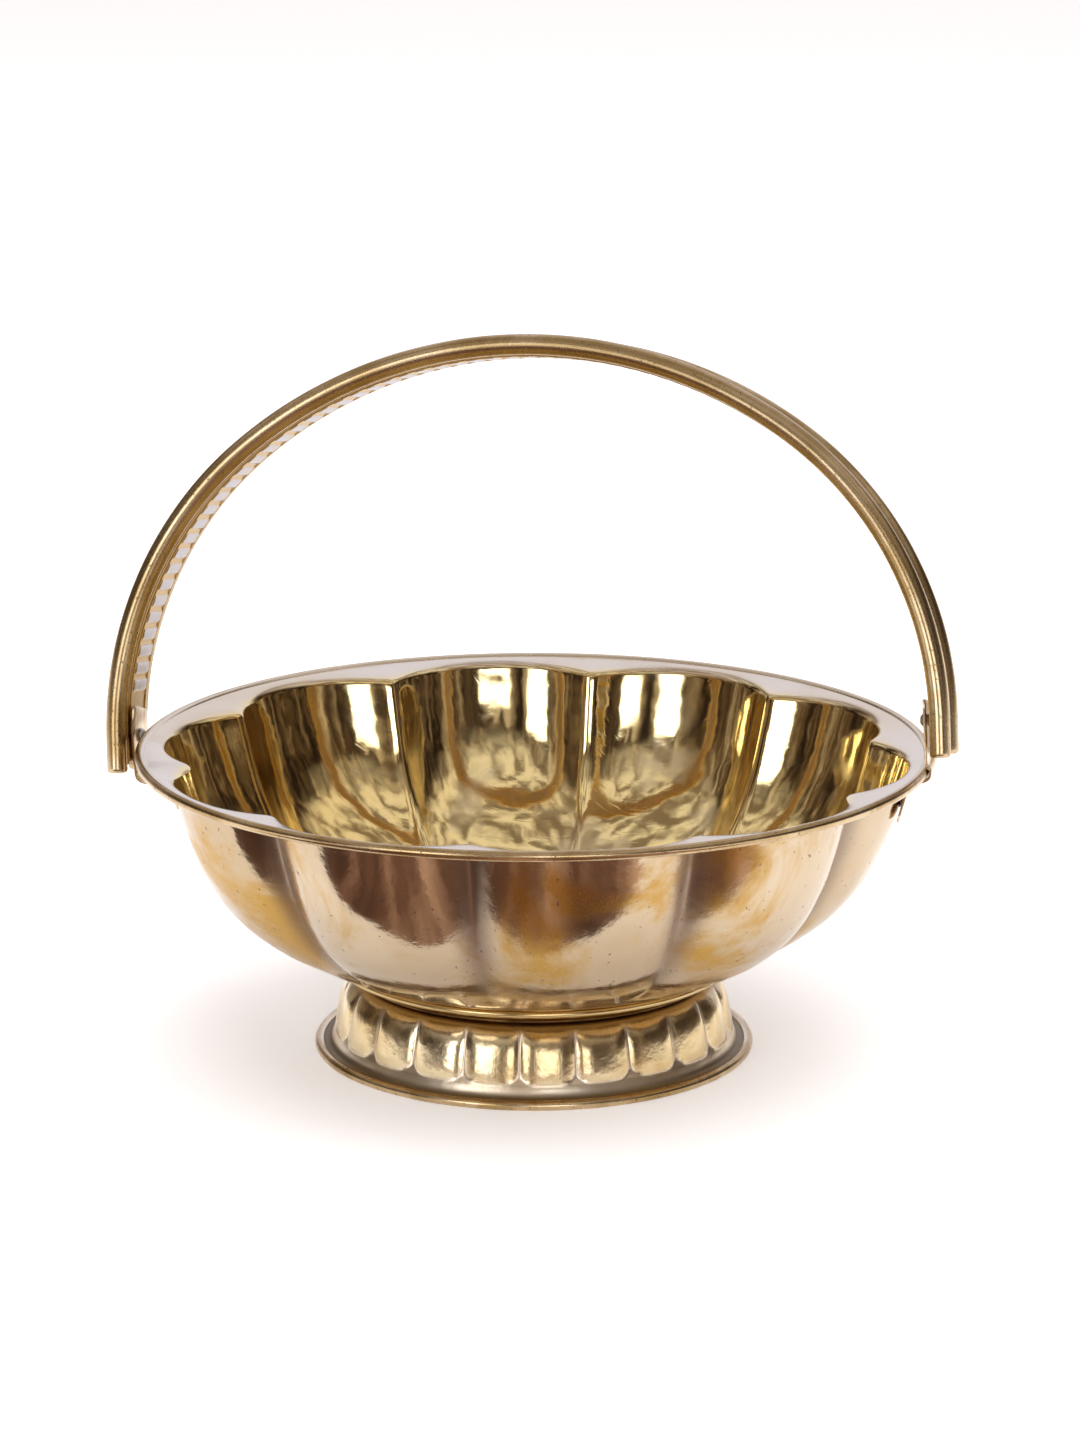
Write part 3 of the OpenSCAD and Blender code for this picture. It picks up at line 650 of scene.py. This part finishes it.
# %% A socket that can be reckoned with
class Wire:
    """One output socket of a node tree; sums and products with numbers or other wires add Math nodes."""

    def __init__(self, tree, socket):
        self.tree, self.socket = tree, socket

    def reckon(self, operation, *values):
        return add_node(self.tree, "ShaderNodeMath", {"operation": operation}, dict(enumerate(values)))

    def __add__(self, other):
        return self.reckon("ADD", self, other)

    def __sub__(self, other):
        return self.reckon("SUBTRACT", self, other)

    def __rsub__(self, other):
        return self.reckon("SUBTRACT", other, self)

    def __mul__(self, other):
        return self.reckon("MULTIPLY", self, other)

    __radd__, __rmul__ = __add__, __mul__


def add_node(tree, kind, settings=None, inputs=None, output=0):
    """Adds a node of that type, applies its settings first, then links or sets each input; returns one output."""
    node = tree.nodes.new(kind)
    for key, value in (settings or {}).items():
        if key == "stops":
            ramp = node.color_ramp
            while len(ramp.elements) < len(value):
                ramp.elements.new(0.5)
            for element, (place, colour) in zip(ramp.elements, value):
                element.position, element.color = place, (*colour, 1)
        else:
            setattr(node, key, value)
    for key, value in (inputs or {}).items():
        if isinstance(value, Wire):
            tree.links.new(value.socket, node.inputs[key])
        elif isinstance(value, tuple) and len(value) == 3 and node.inputs[key].type == "RGBA":
            node.inputs[key].default_value = (*value, 1)
        else:
            node.inputs[key].default_value = value
    return Wire(tree, node.outputs[output]) if node.outputs else None


class Bench:
    """The bench on which one finish is mixed: its node tree and the helpers that most finishes use."""

    def __init__(self, name, tree=None):
        self.material = None
        if tree is None:
            self.material = bpy.data.materials.new(name)
            self.material.use_nodes = True
            tree = self.material.node_tree
        self.tree = tree
        tree.nodes.clear()

    def node(self, kind, settings=None, inputs=None, output=0):
        return add_node(self.tree, kind, settings, inputs, output)

    def place(self):
        return self.node("ShaderNodeTexCoord", output="Object")

    def sheet(self):
        return self.node("ShaderNodeTexCoord", output="UV")

    def trait(self, name):
        return self.node("ShaderNodeAttribute", {"attribute_name": name}, output="Fac")

    def stretch(self, where, scale, move=(0, 0, 0)):
        return self.node("ShaderNodeMapping", inputs={0: where, "Location": move, "Scale": scale})

    def cloud(self, where, scale, detail=3.0, rough=0.5, warp=0.0):
        """Soft noise between 0 and 1, with features of about 1 / scale metres."""
        inputs = {"Vector": where, "Scale": scale, "Detail": detail, "Roughness": rough, "Distortion": warp}
        return self.node("ShaderNodeTexNoise", inputs=inputs, output=0)

    def step(self, value, low, high, start=0.0, stop=1.0):
        """A smooth step of value from start, at low, to stop, at high."""
        settings = {"interpolation_type": "SMOOTHSTEP"}
        inputs = {"Value": value, "From Min": low, "From Max": high, "To Min": start, "To Max": stop}
        return self.node("ShaderNodeMapRange", settings, inputs)

    def tint(self, share, first, second):
        """A colour that goes from first to second as share goes from 0 to 1."""
        return self.node("ShaderNodeMix", {"data_type": "RGBA"}, {0: share, 6: first, 7: second}, output=2)

    def metal(self, colour, roughness, bump, depth):
        """The metal itself. bump is a height wire that counts in metres when it is multiplied by depth."""
        bent = self.node("ShaderNodeBump", inputs={"Strength": 1.0, "Distance": depth, "Height": bump})
        inputs = {"Base Color": colour, "Roughness": roughness, "Metallic": 1.0, "Normal": bent}
        surface = self.node("ShaderNodeBsdfPrincipled", inputs=inputs)
        self.node("ShaderNodeOutputMaterial", inputs={"Surface": surface})
        return self.material


# %% [markdown]
# ## Polished and tarnished brass
# Brass mirrors white light with a pale straw tint at the first bounce and goes golden when light bounces twice or
# more, as between the lobes inside. The outside has dulled: a beige film, amber clouds and a net of fine scratches;
# its valleys are darkened as painted shade. The lip is paler where hands have rubbed it.

# %% Finish of the bowl


def bowl_brass():
    b = Bench("bowl brass")
    where, sheet = b.place(), b.sheet()
    inside, lip, groove = b.trait("inside"), b.trait("lip"), b.trait("groove")
    outside = 1 - inside
    amber = b.step(b.cloud(where, 21, 5, 0.62, 0.6), 0.46, 0.64)
    film = b.cloud(b.stretch(where, (1, 1, 1), (0.3, 0.1, 0.7)), 9, 4, 0.6)
    dust = b.step(b.cloud(where, 420, 3, 0.6), 0.66, 0.72)
    # the outside colour: film, amber tarnish and dust specks, plus the painted shade of the valleys added below
    rubbed = b.tint(b.step(film, 0.35, 0.7), (0.50, 0.38, 0.24), (0.62, 0.51, 0.37))
    rubbed = b.tint(amber * 0.9, rubbed, (0.50, 0.29, 0.06))
    # painted shade: the valleys between the lobes are darkened towards purple brown, more where the film cloud is
    # high
    rubbed = b.tint(b.step(groove, 0.45, 1.0) * (0.35 + 0.5 * film), rubbed, (0.13, 0.085, 0.085))
    rubbed = b.tint(dust * 0.65, rubbed, (0.10, 0.06, 0.04))
    haze = b.step(b.cloud(where, 34, 4, 0.6, 0.8), 0.52, 0.68)
    bright = b.tint(b.step(film, 0.3, 0.75), (0.96, 0.80, 0.43), (0.93, 0.72, 0.32))
    bright = b.tint(haze * 0.5, bright, (0.74, 0.64, 0.46))
    pale = b.tint(b.step(film, 0.4, 0.7), (0.80, 0.72, 0.62), (0.76, 0.65, 0.50))
    colour = b.tint(inside, rubbed, b.tint(lip, bright, pale))
    scratch = b.cloud(b.stretch(sheet, (900, 30, 1)), 1.0, 2, 0.5) * b.cloud(where, 60, 2)
    hair = b.step(b.cloud(b.stretch(where, (60, 900, 200)), 1.0, 1, 0.5, 0.2), 0.62, 0.7)
    dulled = 0.10 + 0.10 * scratch + 0.16 * amber + 0.25 * dust + 0.2 * b.step(groove, 0.5, 1.0)
    polished = 0.045 + 0.04 * film + 0.06 * scratch + 0.09 * haze + 0.12 * lip
    roughness = outside * dulled + inside * polished
    waves = b.cloud(where, 55, 2, 0.5) + (0.05 + 0.16 * outside) * b.cloud(where, 230, 3, 0.6) + 0.012 * hair
    return b.metal(colour, roughness, waves, 0.0004)


def foot_brass():
    b = Bench("foot brass")
    where, sheet = b.place(), b.sheet()
    dome, edge = b.trait("dome"), b.trait("edge")
    height = b.node("ShaderNodeSeparateXYZ", inputs={0: where}, output="Z")
    film = b.cloud(where, 30, 5, 0.6, 0.4)
    straw = b.tint(b.step(film, 0.35, 0.7), (0.84, 0.71, 0.46), (0.60, 0.43, 0.20))
    band = b.tint(b.step(film, 0.35, 0.7), (0.86, 0.74, 0.57), (0.72, 0.58, 0.40))
    colour = b.tint(b.step(dome, 0.02, 0.5), band, straw)
    # painted shade: the top of the foot, from 22.5 mm up under the neck, is darkened brown
    colour = b.tint(b.step(height, 0.0225, 0.0262), colour, (0.42, 0.27, 0.10))
    # painted shade: the creases between gadroons and the lower edges of the domes are darkened
    colour = b.tint(b.step(edge, 0.3, 1.0) * 0.35, colour, (0.26, 0.17, 0.07))
    # painted shade: the gutter next to the base bead, below about 5 mm, is darkened
    gutter = b.step(height, 0.0030, 0.0052, 1.0, 0.0)
    colour = b.tint(gutter * 0.8, colour, (0.14, 0.10, 0.05))
    roughness = 0.15 + 0.12 * film + 0.12 * b.step(dome, 0.0, 0.3, 1.0, 0.0) + 0.15 * gutter
    waves = b.cloud(where, 140, 3, 0.55) + 0.1 * b.cloud(b.stretch(sheet, (600, 40, 1)), 1.0, 2)
    return b.metal(colour, roughness, waves, 0.00025)


def neck_brass():
    b = Bench("neck brass")
    where = b.place()
    height = b.node("ShaderNodeSeparateXYZ", inputs={0: where}, output="Z")
    film = b.cloud(where, 60, 4, 0.6)
    # painted shade: the neck's recess below about 30 mm is nearly black brown
    painted_recess_shade = b.tint(b.step(height, 0.0290, 0.0306), (0.09, 0.042, 0.014), (0.62, 0.46, 0.22))
    colour = b.tint(b.step(film, 0.4, 0.7) * 0.3, painted_recess_shade, (0.46, 0.30, 0.11))
    lines = b.cloud(b.stretch(where, (30, 30, 5200)), 1.0, 2, 0.6)
    return b.metal(colour, 0.14 + 0.14 * film, lines, 0.00003)


def trim_brass(name, bronze, straw, along):
    """Satin bronze-gold of the wired edges and rolls, brushed along their length. along says which UV axis that is:
    the brush lines are noise that is hardly stretched along it and tightly packed across it."""
    b = Bench(name)
    where, sheet = b.place(), b.sheet()
    lines = b.cloud(b.stretch(sheet, along), 1.0, 3, 0.6)
    film = b.cloud(where, 45, 4, 0.6, 0.5)
    specks = b.step(b.cloud(where, 700, 2, 0.5), 0.64, 0.70)
    colour = b.tint(b.step(film, 0.3, 0.72), straw, bronze)
    colour = b.tint(b.step(lines, 0.52, 0.7) * 0.3, colour, (0.28, 0.17, 0.06))
    colour = b.tint(specks * 0.5, colour, (0.16, 0.10, 0.05))
    # paler on the top and inner side of a wired edge: painted sheen, partly wear; the rolls carry no such mask
    colour = b.tint(b.trait("rubbed"), colour, (0.80, 0.71, 0.58))
    roughness = 0.16 + 0.10 * lines + 0.08 * film + 0.15 * specks
    return b.metal(colour, roughness, 0.5 * lines + 0.5 * b.cloud(where, 900, 2), 0.00003)


def strip_brass():
    b = Bench("strip brass")
    where = b.place()
    pad, glint = b.trait("pad"), b.trait("glint")
    film = b.cloud(where, 220, 3, 0.6)
    # painted light: the sheet between the pads is golden brown as painted shade, and the pads are lilac grey as a
    # painted reflection of the pale wall
    colour = b.tint(b.step(pad, 0.25, 0.9), (0.46, 0.28, 0.07), (0.40, 0.365, 0.375))
    colour = b.tint(b.step(film, 0.45, 0.75) * 0.35, colour, (0.66, 0.48, 0.22))
    colour = b.tint(b.step(glint, 0.3, 0.8), colour, (0.92, 0.70, 0.26))
    return b.metal(colour, 0.22 + 0.14 * film, film, 0.00006)


def bracket_brass():
    b = Bench("bracket brass")
    where = b.place()
    film = b.cloud(where, 140, 4, 0.6, 0.4)
    stain = b.step(b.cloud(where, 70, 3, 0.6), 0.55, 0.7)
    colour = b.tint(b.step(film, 0.35, 0.7), (0.76, 0.65, 0.48), (0.62, 0.48, 0.29))
    colour = b.tint(stain * 0.5, colour, (0.46, 0.28, 0.12))
    lines = b.cloud(b.stretch(where, (1500, 60, 1500)), 1.0, 2, 0.6)
    return b.metal(colour, 0.16 + 0.16 * film, lines + film, 0.00004)


def rivet_metal():
    b = Bench("rivet metal")
    where = b.place()
    film = b.cloud(where, 500, 3, 0.6)
    colour = b.tint(film, (0.66, 0.66, 0.67), (0.42, 0.41, 0.40))
    return b.metal(colour, 0.22 + 0.2 * film, film, 0.00008)


def solder_metal():
    b = Bench("solder metal")
    where = b.place()
    film = b.cloud(where, 300, 4, 0.65)
    colour = b.tint(film, (0.50, 0.48, 0.45), (0.22, 0.19, 0.16))
    return b.metal(colour, 0.4 + 0.2 * film, film, 0.0002)


BOWL_BRASS, FOOT_BRASS, NECK_BRASS = bowl_brass(), foot_brass(), neck_brass()
WIRE_BRASS = trim_brass("wired edge brass", (0.42, 0.28, 0.12), (0.68, 0.53, 0.33), (3, 40, 1))
ROLL_BRASS = trim_brass("rolled edge brass", (0.42, 0.29, 0.13), (0.60, 0.46, 0.28), (44, 12, 1))
STRIP_BRASS, BRACKET_BRASS = strip_brass(), bracket_brass()
RIVET_METAL, SOLDER_METAL = rivet_metal(), solder_metal()
print("finishes:", [m.name for m in bpy.data.materials])

# %% [markdown]
# ## Riding on the frame
# Each piece gets its finish and is told which CAD body carries it; the CAD node that it stands for is hidden. The
# bowl, foot, brackets and rivets stay with the bowl; the strip and its two rolls swing with the handle.

# %% Riding and replacing
finish_piece(bowl, BOWL_BRASS, "bowl", "bowl_brass", "bowl_shell")
finish_piece(rim, WIRE_BRASS, "bowl", "trim_brass", "rim_bead")
finish_piece(base, WIRE_BRASS, "bowl", "trim_brass", "foot_bead")
finish_piece(neck, NECK_BRASS, "bowl", "bowl_brass", "neck_collar")
finish_piece(foot, FOOT_BRASS, "bowl", "bowl_brass", "foot_shell")
finish_piece(bracket_right, BRACKET_BRASS, "bowl", "bracket_brass", "bracket_right")
finish_piece(bracket_left, BRACKET_BRASS, "bowl", "bracket_brass", "bracket_left")
finish_piece(strip, STRIP_BRASS, "handle", "bracket_brass", "handle_strip")
for side_name, roll in roll_skins.items():
    finish_piece(roll, ROLL_BRASS, "handle", "trim_brass", f"handle_roll_{side_name}")
for side_name in ("left", "right"):
    finish_piece(rivet_pieces[side_name], RIVET_METAL, "bowl", "rivet_metal", f"rivet_{side_name}")
    finish_piece(solder_pieces[side_name], SOLDER_METAL, "bowl", "solder", f"solder_{side_name}")

# %% [markdown]
# ## Floor and studio light
# Polished metal shows little but what stands around it. The set is a plain pale floor, a pale wall behind, a dim warm
# room in front with two tall soft windows, and a soft ceiling. A dark cloth lies on the floor in front, out of the
# picture, and only shows in the brass, where it gives the walls their dark patches.

# %% Floor


def flat_sheet(name, corners, material):
    """A flat four-cornered sheet of the set, in metres."""
    mesh = bpy.data.meshes.new(name)
    mesh.from_pydata(corners, [], [(0, 1, 2, 3)])
    mesh.update()
    sheet = bpy.data.objects.new(name, mesh)
    bpy.context.scene.collection.objects.link(sheet)
    mesh.materials.append(material)
    return sheet


def plain_finish(name, colour, glow):
    """A matt surface that also gives off a little light of its own."""
    b = Bench(name)
    inputs = {"Base Color": colour, "Roughness": 0.9, "Emission Color": colour, "Emission Strength": glow}
    b.node("ShaderNodeOutputMaterial", inputs={"Surface": b.node("ShaderNodeBsdfPrincipled", inputs=inputs)})
    return b.material


FLOOR = 12.0
flat_sheet("pale_floor", [(-FLOOR, -FLOOR, 0), (FLOOR, -FLOOR, 0), (FLOOR, FLOOR, 0), (-FLOOR, FLOOR, 0)],
           plain_finish("pale floor", (0.87, 0.865, 0.875), 0.5))


def cloth_finish():
    """The dark cloth: an even glow of a few browns, so that it needs no lamp of its own."""
    b = Bench("dark cloth")
    where = b.place()
    folds = b.cloud(b.stretch(where, (9, 1.6, 1)), 1.0, 4, 0.65, 0.6)
    stops = [(0.36, (0.03, 0.017, 0.014)), (0.5, (0.22, 0.115, 0.08)), (0.64, (0.75, 0.50, 0.38))]
    colour = b.node("ShaderNodeValToRGB", {"stops": stops}, {0: folds})
    glow = b.node("ShaderNodeEmission", inputs={"Color": colour})
    b.node("ShaderNodeOutputMaterial", inputs={"Surface": glow})
    return b.material


CLOTH_FAR, CLOTH_NEAR, CLOTH_UP = -3.0, -0.138, 0.001
cloth = flat_sheet("dark_cloth", [(-1.2, CLOTH_FAR, CLOTH_UP), (1.4, CLOTH_FAR, CLOTH_UP),
                                  (0.32, CLOTH_NEAR, CLOTH_UP), (-0.26, CLOTH_NEAR, CLOTH_UP)], cloth_finish())
cloth.visible_camera = cloth.visible_diffuse = cloth.visible_shadow = False
cloth.visible_transmission = cloth.visible_volume_scatter = False

# %% The room around the set


def room():
    """The world: direction gives azimuth from the front and height above the horizon, both in degrees, and each
    part of the room is a product of smooth steps in those two."""
    scene = bpy.context.scene
    scene.world = bpy.data.worlds.new("room")
    scene.world.use_nodes = True
    b = Bench("room", scene.world.node_tree)
    ray_ = b.node("ShaderNodeTexCoord", output="Generated")
    x, y, z = (b.node("ShaderNodeSeparateXYZ", inputs={0: ray_}, output=k) for k in ("X", "Y", "Z"))
    azimuth = x.reckon("ARCTAN2", x, y * -1.0) * (180 / math.pi)
    height = z.reckon("ARCSINE", z) * (180 / math.pi)

    def between(value, first, second, soft=1.5):
        return b.step(value, first - soft, first + soft) * b.step(value, second - soft, second + soft, 1.0, 0.0)

    def window(left, right, low_, high):
        return between(azimuth, left, right) * between(height, low_, high)

    away = b.node("ShaderNodeMath", {"operation": "ABSOLUTE"}, {0: azimuth})
    back = b.step(away, 138, 156) * b.step(height, 62, 80, 1.0, 0.0)
    ceiling = b.step(height, 24, 42)
    mottle = b.cloud(b.stretch(ray_, (6, 6, 2)), 1.0, 4, 0.6, 0.5)
    stops = [(0.4, (0.015, 0.01, 0.008)), (0.52, (0.12, 0.08, 0.055)), (0.64, (0.50, 0.42, 0.35))]
    dim = b.node("ShaderNodeValToRGB", {"stops": stops}, {0: mottle})
    beams = b.step(b.cloud(b.stretch(ray_, (5, 9, 5)), 1.0, 3, 0.6, 0.4), 0.4, 0.6)
    colour = b.tint(ceiling, dim, b.tint(beams, (0.22, 0.17, 0.135), (0.84, 0.77, 0.70)))
    colour = b.tint(back, colour, (0.86, 0.84, 0.92))
    colour = b.tint(window(-34, -12, -2, 26), colour, (3.4, 3.4, 3.5))
    colour = b.tint(window(8, 30, -6, 20), colour, (3.0, 3.0, 3.1))
    seen = b.node("ShaderNodeLightPath", output="Is Camera Ray")
    colour = b.tint(seen, colour, (1.0, 1.0, 1.0))
    glow = b.node("ShaderNodeBackground", inputs={"Color": colour, "Strength": 1.0})
    b.node("ShaderNodeOutputWorld", inputs={"Surface": glow})


room()


def soft_lamp(name, place, target, size, watts):
    """A large square lamp that lights the floor but doesn't itself show in the brass."""
    data = bpy.data.lights.new(name, "AREA")
    data.size, data.energy = size, watts
    lamp = bpy.data.objects.new(name, data)
    bpy.context.scene.collection.objects.link(lamp)
    lamp.location = place
    lamp.rotation_euler = (Vector(target) - Vector(place)).to_track_quat("-Z", "Y").to_euler()
    lamp.visible_glossy = False
    return lamp


soft_lamp("overhead_lamp", (0.2, -0.3, 2.6), (0, 0, 0), 2.6, 62)

# %% Camera
VIEW_TARGET, VIEW_FAR = Vector((0, 0, RIM_Z * MM)), 1.698
VIEW_TURN, VIEW_UP = math.radians(10), math.radians(14.58)
level = math.cos(VIEW_UP)
toward = Vector((math.sin(VIEW_TURN) * level, -math.cos(VIEW_TURN) * level, math.sin(VIEW_UP)))
camera_data = bpy.data.cameras.new("camera")
camera_data.lens, camera_data.sensor_width = 121.185, 36
camera_data.shift_x, camera_data.shift_y = 0.00422, 0.02026
camera = bpy.data.objects.new("camera", camera_data)
bpy.context.scene.collection.objects.link(camera)
camera.location = VIEW_TARGET + toward * VIEW_FAR
camera.rotation_euler = (-toward).to_track_quat("-Z", "Y").to_euler()
bpy.context.scene.camera = camera
bpy.context.scene.view_settings.view_transform = "Standard"
bpy.context.scene.cycles.glossy_bounces = 8  # light that bounces between lobes turns golden only if it may bounce on
bpy.context.scene.cycles.max_bounces = 12
